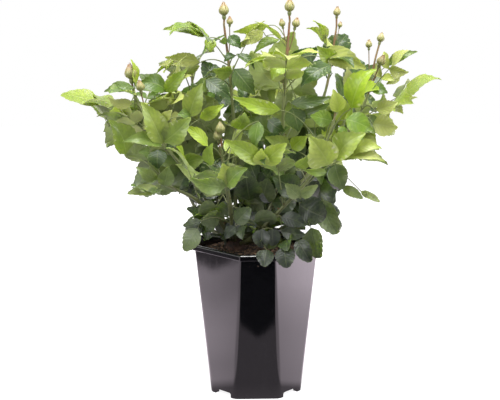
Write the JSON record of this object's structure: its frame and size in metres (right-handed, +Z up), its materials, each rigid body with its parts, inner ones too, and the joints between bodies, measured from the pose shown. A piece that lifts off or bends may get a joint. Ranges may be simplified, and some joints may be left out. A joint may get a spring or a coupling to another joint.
{
  "type": "potted rose",
  "caption": "Budding shrub rose with compound leaves and closed buds on arching canes, growing in a tall square container with cut corners and a rim band.",
  "frame": {"origin": "middle of the container's footprint, on the surface that it stands on", "axes": "+Z up; -Y towards the front corner panel of the container, +X to its right"},
  "size_m": [0.6131, 0.3904, 0.646],
  "materials": {
    "black_container": "smooth moulded black plastic with a semi-gloss sheen",
    "potting_mix": "loose dark mix of peat and bark chips, matte",
    "old_wood": "rough brown bark with a sawn end",
    "cane": "smooth green cane that turns red-brown towards its tip, with prickles",
    "bud": "pale green closed sepals flushed with pink, satin",
    "leaf": "fresh green blade with a waxy sheen and a paler underside"
  },
  "bodies": {
    "root": {"bud_back_right_1": "bud", "bud_center_1": "bud", "bud_center_2": "bud", "bud_far_left_1": "bud", "bud_far_left_2": "bud", "bud_front_1": "bud", "bud_front_right_1": "bud", "bud_right_1": "bud", "bud_right_2": "bud", "bud_right_3": "bud", "bud_tall_1": "bud", "bud_tall_2": "bud", "bud_tall_3": "bud", "cane_back_left": "cane", "cane_back_right": "cane", "cane_center": "cane", "cane_far_left": "cane", "cane_front": "cane", "cane_front_right": "cane", "cane_low_left": "cane", "cane_low_right": "cane", "cane_rear": "cane", "cane_rear_left": "cane", "cane_right": "cane", "cane_tall": "cane", "graft_union": "old_wood", "leaf_back_left_1": "leaf", "leaf_back_left_2": "leaf", "leaf_back_left_3": "leaf", "leaf_back_right_1": "leaf", "leaf_back_right_2": "leaf", "leaf_center_1": "leaf", "leaf_center_2": "leaf", "leaf_far_left_1": "leaf", "leaf_far_left_2": "leaf", "leaf_far_left_3": "leaf", "leaf_front_1": "leaf", "leaf_front_right_1": "leaf", "leaf_front_right_2": "leaf", "leaf_front_right_3": "leaf", "leaf_front_right_4": "leaf", "leaf_low_left_1": "leaf", "leaf_low_left_2": "leaf", "leaf_low_left_3": "leaf", "leaf_low_left_4": "leaf", "leaf_low_right_1": "leaf", "leaf_low_right_2": "leaf", "leaf_rear_1": "leaf", "leaf_rear_2": "leaf", "leaf_rear_3": "leaf", "leaf_rear_left_1": "leaf", "leaf_rear_left_2": "leaf", "leaf_right_1": "leaf", "leaf_right_2": "leaf", "leaf_right_3": "leaf", "leaf_right_4": "leaf", "leaf_tall_1": "leaf", "leaf_tall_2": "leaf", "pot": "black_container", "potting_mix": "potting_mix"}
  },
  "joints": []
}
